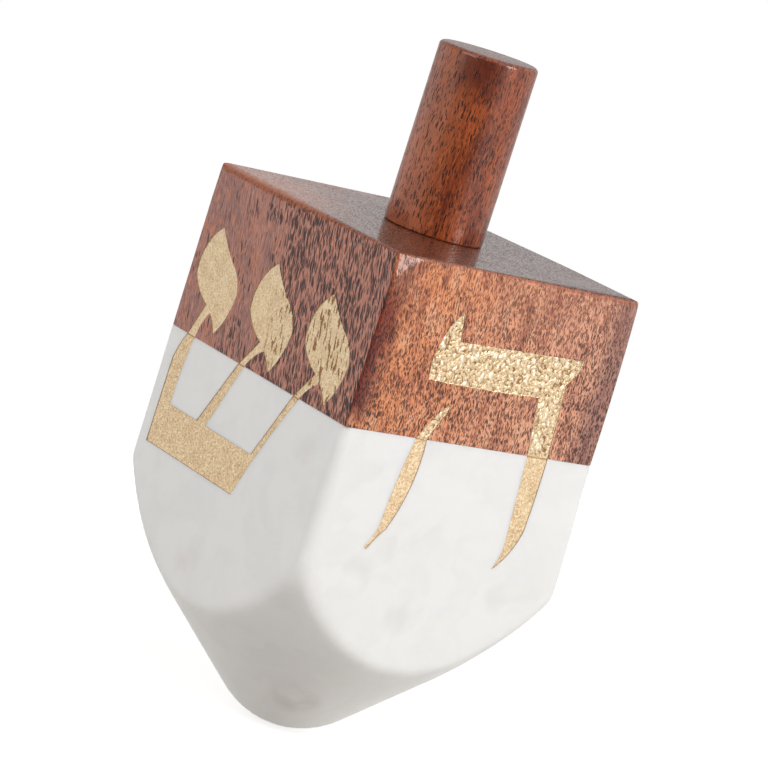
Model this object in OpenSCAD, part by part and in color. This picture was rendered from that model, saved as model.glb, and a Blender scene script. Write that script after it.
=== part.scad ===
// Dreidel: a four-sided spinning top with a wooden stem and upper block on a marble base.
// Millimetres. +Z runs up the spin axis, and the origin is the lowest point of the tip.
// Each side has one game letter in gold, inlaid across the seam of the wood and the marble.

/* [Body] */
// Width of the square body across its flat sides
body_w = 63.5; // [56:0.5:76]
// Radius of the four long edges
edge_r = 2.5; // [1:0.1:4]
// Height of the wooden upper block
wood_h = 34.8; // [32:0.2:44]
// Radius of the sanded arris round the top face
arris_r = 1.6; // [0.6:0.1:3]
// Height over which the upper ends of the long edges are eased
corner_ease_h = 9; // [4:0.5:14]
// Radius of that easing, in side view
corner_ease_r = 32; // [24:1:60]

/* [Marble base] */
// Height of the marble base from its tip to the seam
marble_h = 71.4; // [66:0.2:90]
// Radius of the rounded tip
tip_r = 18.6; // [10:0.1:22]
// Angle between the axis and the straight part of the cone
cone_angle = 46; // [43:1:50]
// How far inside the flat sides the straight cone ends
cone_inset = 3.5; // [1:0.1:8]
// Radius of the shoulder that eases the cone into the corners
shoulder_r = 80; // [65:1:120]

/* [Stem] */
// Diameter of the stem
stem_d = 20.5; // [15:0.5:26]
// Height of the stem above the top face
stem_h = 37.3; // [24:0.1:50]
// Radius of the stem's top edge
stem_top_r = 1; // [0.5:0.1:4]
// Radius of the stem's eased foot
stem_foot_r = 0.4; // [0.2:0.1:1]
// Diameter of the tenon under the stem
tenon_d = 12; // [8:0.5:13]
// Length of the tenon under the stem
tenon_l = 16; // [10:0.5:18]

/* [Glued joints] */
// Diameter of the hidden dowel across the seam
dowel_d = 12; // [8:0.5:20]
// Length of the dowel in the wood
dowel_wood_l = 12; // [8:0.5:14]
// Length of the dowel in the marble
dowel_marble_l = 16; // [8:0.5:24]
// Radius of the dowel's eased ends
dowel_end_r = 0.8; // [0.3:0.1:2]
// Gap for glue between a dowel or tenon and the wall of its bore
glue_gap = 0.1; // [0.05:0.01:0.3]
// Pocket for glue past the end of a dowel or tenon
end_gap = 1; // [0.5:0.1:2]

/* [Letters] */
// Depth of the letter recesses in the wood
wood_recess = 0.4; // [0.3:0.05:1]
// Depth of the letter recesses in the marble
marble_recess = 0.5; // [0.4:0.05:1.5]
// Thickness of the gold inlays
gold_t = 0.3; // [0.1:0.05:0.3]
// Distance from the tallest letter to the top face
letter_top_margin = 8.8; // [6:0.1:14]
// Distance that the letters reach below the seam
letter_drop = 24; // [16:0.5:28]
// Distance from the shin letter to the sides of its face
shin_margin = 3; // [2.5:0.1:10]
// How far the shin letter stands to the left of the middle of its face
shin_shift = 0.9; // [0:0.1:2]
// Distance from the hei letter to the sides of its face
hei_margin = 12.5; // [10:0.1:18]
// How far the hei letter stands to the right of the middle of its face
hei_shift = 2.5; // [0:0.1:5]
// Distance from the gimel letter to the sides of its face
gimel_margin = 17; // [10:0.1:20]
// Distance from the nun letter to the sides of its face
nun_margin = 17; // [10:0.1:20]

/* [Hidden] */
$fn = 96;

wood_colour = "#8f4d2e";
marble_colour = "#ebe9e4";
gold_colour = "#d9bb72";
dowel_colour = "#d8b88c";

// Overrun of cuts past the faces that they open
overrun = 1;

// Heights of the seam and of the top face
seam_z = marble_h;
top_z = marble_h + wood_h;

// Where the tip sphere runs into the cone, and where the cone runs into the shoulder
tip_end_r = tip_r * cos(cone_angle);
tip_end_z = tip_r * (1 - sin(cone_angle));
cone_end_r = body_w / 2 - cone_inset;
cone_end_z = tip_end_z + (cone_end_r - tip_end_r) / tan(cone_angle);
shoulder_centre = [
    cone_end_r - shoulder_r * cos(cone_angle),
    cone_end_z + shoulder_r * sin(cone_angle)
];

// Distance of the rounded long edges from the axis
corner_r = (body_w / 2 - edge_r) * sqrt(2) + edge_r;

// Turn of each lettered side about the axis, from the side that faces -Y
shin_turn = -90;
hei_turn = 0;
gimel_turn = 90;
nun_turn = 180;

// Letter sizes that follow the faces
letter_rise = wood_h - letter_top_margin;
shin_w = body_w - 2 * shin_margin;
hei_w = body_w - 2 * hei_margin;
gimel_w = body_w - 2 * gimel_margin;
nun_w = body_w - 2 * nun_margin;

// Straight steps in each curved edge of a letter
arc_steps = 8;

// Letter outlines, counter-clockwise. Each corner is a share of half the letter's width, a share of its
// rise above or its drop below the seam, and how far the edge after it bows out, as a share of its length.

// Where the strokes of each letter cross the seam, as left and right shares
shin_arm_shares = [-0.10, -0.03];
shin_left_arm_shares = [-0.05, 0.05];
hei_leg_shares = [0.62, 0.90];
hei_left_leg_shares = [-0.87, -0.73];
stroke_shares = [0.04, 0.40];

// Places of the three heads of the shin
shin_place_shares = [-0.815, -0.09, 0.60];
// How far each head stands above its drawn height
shin_lift_shares = [0.045, 0, 0];
// Height of the top of the shin's base
shin_base_top_share = -0.615;

// Corners of a lifted head whose arm crosses the seam at the given shares
function shin_head_shares(arm_shares, lift_share) = [
    [0, 0.84 + lift_share, 0.15],
    [-0.165, 0.42 + lift_share, 0.09],
    [0.055, 0.23 + lift_share, 0],
    [arm_shares[0], 0, 0],
    [arm_shares[1], 0, -0.07],
    [0.13, 0.18 + lift_share, -0.06],
    [0.235, 0.045 + lift_share, 0.08],
    [0.37, 0.41 + lift_share, 0.11],
    [0.235, 0.61 + lift_share, -0.04]
];
shin_base_shares = [
    [-0.96, -1, 0],
    [0.165, -1, -0.02],
    [shin_place_shares[2] + shin_arm_shares[1], 0, 0],
    [shin_place_shares[2] + shin_arm_shares[0], 0, 0],
    [0.245, shin_base_top_share, 0],
    [-0.34, shin_base_top_share, 0],
    [shin_place_shares[1] + shin_arm_shares[1], 0, 0],
    [shin_place_shares[1] + shin_arm_shares[0], 0, 0],
    [-0.46, shin_base_top_share, 0],
    [-0.81, shin_base_top_share, -0.03],
    [shin_place_shares[0] + shin_left_arm_shares[1], 0, 0],
    [shin_place_shares[0] + shin_left_arm_shares[0], 0, 0.03],
    [-0.95, -0.24, 0]
];
hei_roof_shares = [
    [-0.95, 0.455, 0.01],
    [0.52, 0.46, 0],
    [hei_leg_shares[0], 0, 0],
    [hei_leg_shares[1], 0, 0],
    [0.83, 0.60, 0.10],
    [0.97, 0.80, 0],
    [-0.70, 0.775, 0],
    [-0.76, 1, 0.13]
];
hei_right_leg_shares = [
    [hei_leg_shares[0], 0, 0],
    [0.70, -0.75, -0.06],
    [0.64, -1, 0.08],
    [0.90, -0.64, 0.01],
    [hei_leg_shares[1], 0, 0]
];
hei_left_leg_top_shares = [
    [hei_left_leg_shares[1], 0, -0.02],
    [-0.58, 0.23, 0],
    [-0.56, 0.31, 0.045],
    [hei_left_leg_shares[0], 0, 0]
];
hei_left_leg_low_shares = [
    [hei_left_leg_shares[0], 0, 0.02],
    [-0.977, -0.77, -0.03],
    [-1.085, -0.955, 0],
    [-1.055, -0.972, -0.03],
    [-0.885, -0.785, 0.07],
    [hei_left_leg_shares[1], 0, 0]
];
stroke_head_shares = [
    [-0.26, 0.92, 0.09],
    [-0.62, 0.58, 0.03],
    [-0.06, 0.36, -0.06],
    [stroke_shares[0], 0, 0],
    [stroke_shares[1], 0, -0.02],
    [0.46, 0.50, 0.11]
];
gimel_foot_shares = [
    [stroke_shares[0], 0, -0.03],
    [0.02, -0.38, 0.04],
    [-0.95, -0.72, 0.02],
    [-0.84, -0.95, -0.05],
    [0.19, -0.58, -0.06],
    [0.66, -1, 0.10],
    [0.54, -0.42, 0.02],
    [stroke_shares[1], 0, 0]
];
nun_base_shares = [
    [stroke_shares[0], 0, 0.02],
    [0.04, -0.64, 0],
    [-0.90, -0.68, 0.03],
    [-1, -0.99, 0],
    [0.28, -1, 0.16],
    [0.54, -0.76, 0.02],
    [stroke_shares[1], 0, 0]
];

// A plane vector turned by an angle
function turned(v, angle) = [
    v.x * cos(angle) - v.y * sin(angle),
    v.x * sin(angle) + v.y * cos(angle)
];

// Points from p up to, but without, q, along an edge that bows out by a share of its length
function edge_points(p, q, bow_share) =
    let (sweep = 4 * atan(2 * bow_share))
    bow_share == 0 ? [p]
    : [
        for (i = [0 : arc_steps - 1])
            let (done = i / arc_steps)
            p + sin(sweep * done / 2) / sin(sweep / 2) * turned(q - p, -sweep * (1 - done) / 2)
    ];

// The corners of a letter at its real size, moved along its face
function sized(shares, width, shift = 0) = [
    for (s = shares)
        [shift + s.x * width / 2, s.y * (s.y > 0 ? letter_rise : letter_drop), s.z]
];

function outline(corners) = [
    for (i = [0 : len(corners) - 1])
        let (p = corners[i], q = corners[(i + 1) % len(corners)])
        each edge_points([p.x, p.y], [q.x, q.y], p.z)
];

// One head of the shin, at its place along the face
function shin_head(i) =
    let (arm_shares = i == 0 ? shin_left_arm_shares : shin_arm_shares)
    sized(
        shin_head_shares(arm_shares, shin_lift_shares[i]),
        shin_w, shin_place_shares[i] * shin_w / 2 - shin_shift
    );

shin_base = sized(shin_base_shares, shin_w, -shin_shift);
hei_roof = sized(hei_roof_shares, hei_w, hei_shift);
hei_right_leg = sized(hei_right_leg_shares, hei_w, hei_shift);
hei_left_leg_top = sized(hei_left_leg_top_shares, hei_w, hei_shift);
hei_left_leg = sized(hei_left_leg_low_shares, hei_w, hei_shift);
gimel_head = sized(stroke_head_shares, gimel_w);
gimel_foot = sized(gimel_foot_shares, gimel_w);
nun_head = sized(stroke_head_shares, nun_w);
nun_base = sized(nun_base_shares, nun_w);

// The strokes that are cut into the wood and into the marble, with the turn of their side
wood_strokes = [
    [shin_head(0), shin_turn], [shin_head(1), shin_turn], [shin_head(2), shin_turn],
    [hei_roof, hei_turn], [hei_left_leg_top, hei_turn],
    [gimel_head, gimel_turn], [nun_head, nun_turn]
];
marble_strokes = [
    [shin_base, shin_turn], [hei_right_leg, hei_turn], [hei_left_leg, hei_turn],
    [gimel_foot, gimel_turn], [nun_base, nun_turn]
];

// Shared shapes

// Plan of the body: a square with rounded corners
module body_plan() {
    inner_w = body_w - 2 * edge_r;
    square([body_w, inner_w], center = true);
    square([inner_w, body_w], center = true);
    for (x = [-1, 1], y = [-1, 1])
        translate([x * inner_w / 2, y * inner_w / 2])
            circle(r = edge_r);
}

// Side view of the wooden block: a rectangle with its two upper corners rounded
module block_view() {
    inner_w = body_w - 2 * arris_r;
    translate([-body_w / 2, 0])
        square([body_w, wood_h - arris_r]);
    translate([-inner_w / 2, 0])
        square([inner_w, wood_h]);
    for (x = [-1, 1])
        translate([x * inner_w / 2, wood_h - arris_r])
            circle(r = arris_r);
}

// Half section of a turned blank that trims only the upper ends of the long edges
module corner_section() {
    square([corner_r, wood_h - corner_ease_h]);
    intersection() {
        translate([corner_r - corner_ease_r, wood_h - corner_ease_h])
            circle(r = corner_ease_r);
        translate([0, wood_h - corner_ease_h])
            square([corner_r, corner_ease_h]);
    }
}

// Half section of a round bar from its axis out, with eased lower and upper edges
module bar_section(radius, height, low_r, high_r) {
    translate([0, low_r])
        square([radius, height - low_r - high_r]);
    square([radius - low_r, height / 2]);
    translate([0, height / 2])
        square([radius - high_r, height / 2]);
    translate([radius - low_r, low_r])
        circle(r = low_r);
    translate([radius - high_r, height - high_r])
        circle(r = high_r);
}

// Half section of the turned underside: round tip, straight cone and curved shoulder
module turned_section() {
    intersection() {
        translate([0, tip_r])
            circle(r = tip_r);
        square([tip_r, tip_end_z]);
    }
    polygon([[0, tip_end_z], [tip_end_r, tip_end_z], [cone_end_r, cone_end_z], [0, cone_end_z]]);
    intersection() {
        translate(shoulder_centre)
            circle(r = shoulder_r);
        translate([0, cone_end_z])
            square([shoulder_r + cone_end_r, marble_h - cone_end_z]);
    }
}

// Lays a drawing on a side: its X to the right, its Y up from the seam, its Z out of the face
module on_side(turn) {
    rotate(turn)
        translate([0, -body_w / 2, seam_z])
            rotate([90, 0, 0])
                children();
}

module recess(corners, turn, depth) {
    on_side(turn)
        translate([0, 0, -depth])
            linear_extrude(depth + overrun)
                polygon(outline(corners));
}

// A gold stroke on the floor of its recess
module inlay(corners, turn, depth) {
    color(gold_colour)
        on_side(turn)
            translate([0, 0, -depth])
                linear_extrude(gold_t)
                    polygon(outline(corners));
}

module wood_inlay(corners, turn) {
    inlay(corners, turn, wood_recess);
}

module marble_inlay(corners, turn) {
    inlay(corners, turn, marble_recess);
}

// Pieces

module stem() {
    color(wood_colour)
        union() {
            translate([0, 0, top_z])
                rotate_extrude()
                    bar_section(stem_d / 2, stem_h, stem_foot_r, stem_top_r);
            translate([0, 0, top_z - tenon_l])
                cylinder(d = tenon_d, h = tenon_l + stem_h / 2);
        }
}

module wood_block() {
    bore_d = tenon_d + 2 * glue_gap;
    dowel_bore_d = dowel_d + 2 * glue_gap;
    color(wood_colour)
        difference() {
            translate([0, 0, seam_z])
                intersection() {
                    linear_extrude(wood_h)
                        body_plan();
                    for_both_ways()
                        block_view();
                    rotate_extrude()
                        corner_section();
                }
            translate([0, 0, top_z - tenon_l - end_gap])
                cylinder(d = bore_d, h = tenon_l + end_gap + overrun);
            translate([0, 0, seam_z - overrun])
                cylinder(d = dowel_bore_d, h = overrun + dowel_wood_l + end_gap);
            for (s = wood_strokes)
                recess(s[0], s[1], wood_recess);
        }
}

// What two upright side views of the same outline, square to each other, have in common
module for_both_ways() {
    intersection() {
        rotate([90, 0, 0])
            linear_extrude(body_w, center = true)
                children();
        rotate([90, 0, 90])
            linear_extrude(body_w, center = true)
                children();
    }
}

module marble_base() {
    dowel_bore_d = dowel_d + 2 * glue_gap;
    color(marble_colour)
        difference() {
            intersection() {
                linear_extrude(marble_h)
                    body_plan();
                rotate_extrude()
                    turned_section();
            }
            translate([0, 0, seam_z - dowel_marble_l - end_gap])
                cylinder(d = dowel_bore_d, h = dowel_marble_l + end_gap + overrun);
            for (s = marble_strokes)
                recess(s[0], s[1], marble_recess);
        }
}

module joint_dowel() {
    color(dowel_colour)
        translate([0, 0, seam_z - dowel_marble_l])
            rotate_extrude()
                bar_section(dowel_d / 2, dowel_marble_l + dowel_wood_l, dowel_end_r, dowel_end_r);
}

stem();
wood_block();
marble_base();
joint_dowel();
wood_inlay(shin_head(0), shin_turn);  // shin_left_head_inlay
wood_inlay(shin_head(1), shin_turn);  // shin_middle_head_inlay
wood_inlay(shin_head(2), shin_turn);  // shin_right_head_inlay
marble_inlay(shin_base, shin_turn);  // shin_base_inlay
wood_inlay(hei_roof, hei_turn);  // hei_roof_inlay
marble_inlay(hei_right_leg, hei_turn);  // hei_right_leg_inlay
wood_inlay(hei_left_leg_top, hei_turn);  // hei_left_leg_top_inlay
marble_inlay(hei_left_leg, hei_turn);  // hei_left_leg_inlay
wood_inlay(gimel_head, gimel_turn);  // gimel_head_inlay
marble_inlay(gimel_foot, gimel_turn);  // gimel_foot_inlay
wood_inlay(nun_head, nun_turn);  // nun_head_inlay
marble_inlay(nun_base, nun_turn);  // nun_base_inlay
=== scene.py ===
import math

import bmesh
import bpy
from mathutils import Matrix, Vector, geometry, noise


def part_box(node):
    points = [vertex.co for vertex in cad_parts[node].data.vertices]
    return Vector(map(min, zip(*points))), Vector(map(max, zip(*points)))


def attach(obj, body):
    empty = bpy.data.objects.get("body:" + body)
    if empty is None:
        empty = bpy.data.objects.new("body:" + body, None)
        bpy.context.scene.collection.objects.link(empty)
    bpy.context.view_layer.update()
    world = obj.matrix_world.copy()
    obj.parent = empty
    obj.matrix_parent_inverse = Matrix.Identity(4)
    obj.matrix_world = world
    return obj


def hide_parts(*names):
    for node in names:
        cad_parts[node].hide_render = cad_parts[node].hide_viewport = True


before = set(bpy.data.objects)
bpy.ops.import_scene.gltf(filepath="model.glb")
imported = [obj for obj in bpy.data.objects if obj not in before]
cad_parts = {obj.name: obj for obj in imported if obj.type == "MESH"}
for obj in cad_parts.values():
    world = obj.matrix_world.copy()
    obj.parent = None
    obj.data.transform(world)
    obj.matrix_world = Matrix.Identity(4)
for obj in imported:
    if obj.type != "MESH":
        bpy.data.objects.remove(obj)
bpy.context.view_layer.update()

# Sizes from the frame

MM = 0.001
UP = Vector((0, 0, 1))


def box_mm(node):
    low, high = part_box(node)
    return low / MM, high / MM


wood_low, wood_high = box_mm("wood_block")
stem_low, stem_high = box_mm("stem")
dowel_low, dowel_high = box_mm("joint_dowel")
half_w = wood_high.x
seam_z = wood_low.z
top_z = wood_high.z
wood_h = top_z - seam_z
stem_r = stem_high.x
dowel_r = dowel_high.x

# Sizes of the construction, in millimetres

TENON_R = 6
TENON_BEVEL = 0.6
GLUE_GAP = 0.1
END_GAP = 1
STEM_TOP_R = 1
STEM_FOOT_R = 0.4
SEAM_RIM = 0.12
TIP_R = 18.6
CONE_ANGLE = math.radians(46)
CONE_INSET = 3.5
SHOULDER_R = 80
RECESS_OVERRUN = 0.8

# Each long edge, sanded by hand: back, left, front, right
# Radius at the top face, above the seam, below it and low on the marble
EDGE_RADII = ((2.5, 2.5, 2.5, 2.5), (0.4, 0.5, 0.5, 0.5), (0.7, 0.7, 2.2, 3.2), (1.0, 0.8, 0.8, 0.4))
EDGE_EASE_H = 14
# How softly the turned underside runs into each long edge and the sides, and angles where that changes
EDGE_BLENDS = (2.0, 0.8, 2.0, 0.6)
SIDE_BLEND = 1.2
NEAR_EDGE = math.radians(4)
OFF_EDGE = math.radians(20)
# How far the right edge stands out low down, its reach round the axis, and where it is full
FLARE = 0.9
FLARE_REACH = math.radians(11)
FLARE_DROP = 28
FLARE_LOW_Z = 18
FLARE_FULL_Z = 42
RIGHT_EDGE = 3
# Height and depth of the easing at each edge's upper end, and how softly that runs into the sides
CORNER_EASES = ((9, 1.3, 0.8), (9, 0.1, 0.6), (8, 0.3, 0.8), (33, 1.2, 1.2))
# Hei side sanded in beside the front edge's top: depth, slopes across and down, softness, and reach inward
ROLL_DEPTH = 1.15
ROLL_ACROSS = 0.19
ROLL_DOWN = 0.19
ROLL_SOFT = 0.25
ROLL_END = 2.1
ROLL_FULL = 1.2
# Radius of the arris at both ends of each side of the top face: nun, shin, hei, gimel
ARRIS_RADII = ((0.5, 0.5), (2.0, 0.5), (0.6, 1.4), (3.0, 6.0))
ARRIS_MAX = 6.0
ARRIS_ROOM = 0.1
# Share of a side along which its arris keeps its first radius
ARRIS_EVEN_SHARE = 0.25
# Smallest radius of the arris's own corners, and how far in the top face is flat
ARRIS_CORNER_R = 0.2
TOP_RIM = 0.4

# Steps of the meshes
SIDE_STEPS = 44
CORNER_STEPS = 10
ARRIS_STEPS = 6
BAR_STEPS = 120
TURNED_STEPS = 12
STEM_FOOT_STEPS = 4
LEVEL_STEPS = 6
CONE_STEPS = 56
UPPER_STEPS = 8
FINE_DROP = 20
# Angles beyond which an edge is sharp
BODY_SHARP = 35
STEM_SHARP = 40
LEAF_SHARP = 60
FLAT_SHARP = 30
# Lengths that count as nothing
SAME_PLACE = 0.001
SAME_LEVEL = 0.01

# The lettered sides: direction outward, and to the right as seen from outside
SIDES = {
    "shin": (Vector((-1, 0, 0)), Vector((0, -1, 0))),
    "hei": (Vector((0, -1, 0)), Vector((1, 0, 0))),
    "gimel": (Vector((1, 0, 0)), Vector((0, 1, 0))),
    "nun": (Vector((0, 1, 0)), Vector((-1, 0, 0))),
}

# Camera: how far below the top face it looks, its distance, place and lens
LOOK_DROP = 32.5
CAMERA_DISTANCE = 700
CAMERA_AZIMUTH = math.radians(-39.322)
CAMERA_ELEVATION = math.radians(9.908)
CAMERA_ROLL = math.radians(17.781)
CAMERA_LENS = 162.75
CAMERA_NEAR = 10


def smoothstep(value, low, high):
    share = min(max((value - low) / (high - low), 0.0), 1.0)
    return share * share * (3 - 2 * share)


def mixed(a, b, share):
    return a + (b - a) * share


def soft_min(a, b, blend):
    """The smaller of two lengths, with their crossing rounded over the blend."""
    near = max(blend - abs(a - b), 0.0) / blend
    return min(a, b) - near * near * blend / 4


def tint(red, green, blue):
    """A screen colour, from 0 to 255, in the linear values that a shader takes."""

    def linear(value):
        share = value / 255
        return share / 12.92 if share <= 0.04045 else ((share + 0.055) / 1.055) ** 2.4

    return (linear(red), linear(green), linear(blue), 1.0)


def new_object(name, data):
    made = bpy.data.objects.new(name, data)
    bpy.context.scene.collection.objects.link(made)
    return made


# Camera


def make_camera():
    flat = math.cos(CAMERA_ELEVATION)
    back = Vector((
        math.sin(CAMERA_AZIMUTH) * flat,
        -math.cos(CAMERA_AZIMUTH) * flat,
        math.sin(CAMERA_ELEVATION),
    ))
    right = (-back).cross(UP).normalized()
    up = back.cross(right)
    rolled_right = right * math.cos(CAMERA_ROLL) + up * math.sin(CAMERA_ROLL)
    rolled_up = up * math.cos(CAMERA_ROLL) - right * math.sin(CAMERA_ROLL)
    place = (Vector((0, 0, top_z - LOOK_DROP)) + back * CAMERA_DISTANCE) * MM
    data = bpy.data.cameras.new("camera")
    data.lens = CAMERA_LENS
    data.clip_start = CAMERA_NEAR * MM
    camera = new_object("camera", data)
    turn = Matrix((rolled_right, rolled_up, back)).transposed()
    camera.matrix_world = Matrix.Translation(place) @ turn.to_4x4()
    bpy.context.scene.camera = camera


# Node trees


class Net:
    """A net of nodes, with a short call for each kind that the finishes use."""

    def __init__(self, tree):
        self.tree = tree
        self.tree.nodes.clear()

    def feed(self, socket, value):
        if isinstance(value, bpy.types.NodeSocket):
            self.tree.links.new(value, socket)
        else:
            socket.default_value = value

    def add(self, kind, *values, **settings):
        """A new node with its settings, and with its first sockets fed in order."""
        node = self.tree.nodes.new(kind)
        for name, value in settings.items():
            setattr(node, name, value)
        for socket, value in zip(node.inputs, values):
            self.feed(socket, value)
        return node

    def fill(self, node, **values):
        """Feeds a node's sockets by their names."""
        for name, value in values.items():
            self.feed(node.inputs[name.replace("_", " ")], value)
        return node

    def paint(self, **values):
        self.fill(self.shader, **values)

    def math(self, operation, a, b=0.0):
        return self.add("ShaderNodeMath", a, b, operation=operation).outputs[0]

    def plus(self, a, b):
        return self.math("ADD", a, b)

    def minus(self, a, b):
        return self.math("SUBTRACT", a, b)

    def times(self, a, b):
        return self.math("MULTIPLY", a, b)

    def vector(self, operation, a, b):
        node = self.add("ShaderNodeVectorMath", a, b, operation=operation)
        return node.outputs[1] if operation == "DOT_PRODUCT" else node.outputs[0]

    def split(self, vector):
        return tuple(self.add("ShaderNodeSeparateXYZ", vector).outputs)

    def join(self, x, y, z):
        return self.add("ShaderNodeCombineXYZ", x, y, z).outputs[0]

    def smooth(self, value, low, high, start=0.0, end=1.0):
        """An eased step from a start, at low and before, to an end, at high and beyond."""
        levels = (value, low, high, start, end)
        return self.add("ShaderNodeMapRange", *levels, interpolation_type="SMOOTHSTEP").outputs[0]

    def blend(self, a, b, share):
        node = self.add("ShaderNodeMix", share, data_type="FLOAT")
        self.feed(node.inputs[2], a)
        self.feed(node.inputs[3], b)
        return node.outputs[0]

    def mix(self, a, b, share, kind="MIX"):
        node = self.add("ShaderNodeMix", share, data_type="RGBA", blend_type=kind)
        self.feed(node.inputs[6], a)
        self.feed(node.inputs[7], b)
        return node.outputs[2]

    def layers(self, colour, table, **given):
        """A colour under a table's layers. Their masks, and any named colours and shares, are given."""
        for mask, over, levels, share, *kind in table:
            strength = self.smooth(given[mask], *levels, 0.0, given.get(share, share))
            colour = self.mix(colour, given.get(over, over), strength, *kind)
        return colour

    def noise(self, vector, scale, detail=2.0, roughness=0.5):
        node = self.add("ShaderNodeTexNoise")
        self.fill(node, Vector=vector, Scale=scale, Detail=detail, Roughness=roughness)
        return node.outputs["Fac"]

    def cells(self, place, across, along):
        """A place counted in cells of a width and of a length along the grain."""
        return self.vector("MULTIPLY", place, (1 / across, 1 / across, 1 / along))

    def grain(self, place, across, along, detail):
        """Noise drawn out along the grain."""
        return self.noise(self.cells(place, across, along), 1.0, detail, GRAIN_ROUGHNESS)

    def warped(self, place, size, amount):
        """A place shifted sideways by noise of a feature size, both in millimetres."""
        node = self.fill(self.add("ShaderNodeTexNoise"), Vector=place, Scale=1 / size)
        shift = self.vector("SUBTRACT", node.outputs["Color"], (0.5, 0.5, 0.5))
        return self.vector("ADD", place, self.vector("MULTIPLY", shift, (amount, amount, 0.0)))

    def attribute(self, name):
        return self.add("ShaderNodeAttribute", attribute_name=name).outputs["Fac"]

    def voronoi(self, vector):
        """Distance to the nearest of points scattered one to a cell, and two random numbers of its cell."""
        node = self.fill(self.add("ShaderNodeTexVoronoi"), Vector=vector, Scale=1.0)
        return node.outputs["Distance"], *self.split(node.outputs["Color"])[:2]

    def bump(self, height, distance):
        """A bumped normal from heights that are shares of the distance, given in millimetres."""
        node = self.add("ShaderNodeBump")
        return self.fill(node, Strength=1.0, Distance=distance * MM, Height=height).outputs["Normal"]

    def millimetres(self):
        place = self.add("ShaderNodeTexCoord").outputs["Object"]
        return self.vector("MULTIPLY", place, (1 / MM, 1 / MM, 1 / MM))

    def facing(self):
        return self.split(self.add("ShaderNodeTexCoord").outputs["Normal"])

    def spot(self, a, b, centre, radius):
        """One at a place in a plane, easing to nothing at the radius round it."""
        across = self.minus(a, centre[0])
        along = self.minus(b, centre[1])
        square = self.plus(self.times(across, across), self.times(along, along))
        return self.smooth(square, radius * radius, 0.0)


def finish(name, **values):
    """A new material with a principled shader, and its net."""
    material = bpy.data.materials.new(name)
    material.use_nodes = True
    net = Net(material.node_tree)
    net.shader = net.add("ShaderNodeBsdfPrincipled")
    net.add("ShaderNodeOutputMaterial", net.shader.outputs["BSDF"])
    net.paint(**values)
    return material, net


# Finishes

# Grain of the wood: roughness of its noise, width and length of its features, and detail
GRAIN_ROUGHNESS = 0.58
FIBRE = (0.36, 5.0, 3.0)
FLECK = (0.26, 2.0, 2.0)
FIGURE = (6.0, 24.0, 3.0)
BAND = (2.2, 40.0, 3.0)
CLOUD = (9.0, 12.0, 2.0)
WANDER = (4.0, 8.0, 2.0)
SWIRL = (3.0, 4.0, 2.0)
STEM_FIGURE = (5.0, 18.0, 3.0)
STEM_CLOUD = (4.0, 9.0, 2.0)
# Size of the bends in the grain and how far they shift it
BEND = (4.0, 0.8)
SWIRL_BEND = (9.0, 16.0)
RING_BEND = (5.0, 3.5)
# How far the grain runs along X and Y for each millimetre down
GRAIN_LEAN = (0.10, -0.24)
# Pith that the rings of the end grain run round, and how fast they follow each other
PITH = (-46.0, 58.0, 0.0)
RING_RATE = 4.4

# Part of the normal where a face begins to count as a side, the top or the arris, and fully does
WOOD_SHIN_WAY = (-0.55, -0.85)
WOOD_HEI_WAY = (-0.15, -0.5)
STONE_SIDE_WAY = (-0.4, -0.7)
TOP_WAY = (0.6, 0.9)
ARRIS_FROM_WAY = (0.12, 0.3)
ARRIS_TO_WAY = (0.97, 0.85)

# Pores: width and length of the cells that may hold one, and its reach as a share of the cell
LONG_PORES = (0.54, 3.4, 0.5)
MORE_PORES = (0.42, 2.8, 0.5)
THIN_PORES = (0.34, 2.0, 0.46)
FINE_PORES = (0.32, 1.5, 0.5)
COARSE_PORES = (0.42, 2.2, 0.48)
STEM_FINE_PORES = (0.32, 1.3, 0.46)
STEM_COARSE_PORES = (0.38, 2.2, 0.46)
MORE_PORES_SHIFT = (31.0, 17.0, 5.0)
# Least and greatest size of a pore, and of its floor
PORE_SIZE_SHARES = (0.7, 1.2)
PORE_FLOOR_SHARE = 0.65
# Depth of thin and fine pores beside the others
THIN_PORE_SHARE = 0.6
FINE_PORE_SHARE = 0.85
STEM_FINE_PORE_SHARE = 0.7
# Share of cells with a pore, by the cloud or the same everywhere, and its softness
PORE_SOFT_SHARE = 0.06
FINE_DENSITY = 0.9
COARSE_DENSITY = (0.4, 0.66, 0.2, 0.8)
STEM_FINE_DENSITY = (0.35, 0.65, 0.3, 0.8)
STEM_COARSE_DENSITY = (0.65, 0.35, 0.1, 0.5)
# Depth of the pores on the sides, by height
SIDE_DEPTH = (14.0, 32.0, 0.95, 0.7)
# The same on the shin side, across a border that wanders
BORDER_DENSITY = (-6.0, 0.0, 0.06, 0.8)
BORDER_WANDER = 16.0
# Share of thin pores there: at least so many, and more by that density
THIN_LEAST_SHARE = 0.1
THIN_MORE_SHARE = 0.7
# Clusters of pores there: place across and above the seam, reach, and the share they add
SHIN_CLUSTERS = (
    ((-8, 33), 6, 0.5),
    ((3, 30), 9, 0.3),
    ((18, 20), 8, 0.2),
    ((-11, 3), 7, 0.45),
    ((28, 26), 8, -0.2),
)

# Layers: mask, colour, levels where the layer begins and is full, its share there, and how it mixes
# Hei side, orange to pinkish brown from left to right
HEI_LEFT = tint(232, 141, 86)
HEI_LAYERS = (
    ("x", tint(231, 164, 133), (-26.0, 22.0), 1.0),
    ("figure", tint(170, 100, 76), (0.5, 0.68), 0.6),
    ("band", tint(150, 72, 44), (0.5, 0.64), 0.6),
    ("band", tint(244, 184, 146), (0.47, 0.36), 0.5),
)
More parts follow.
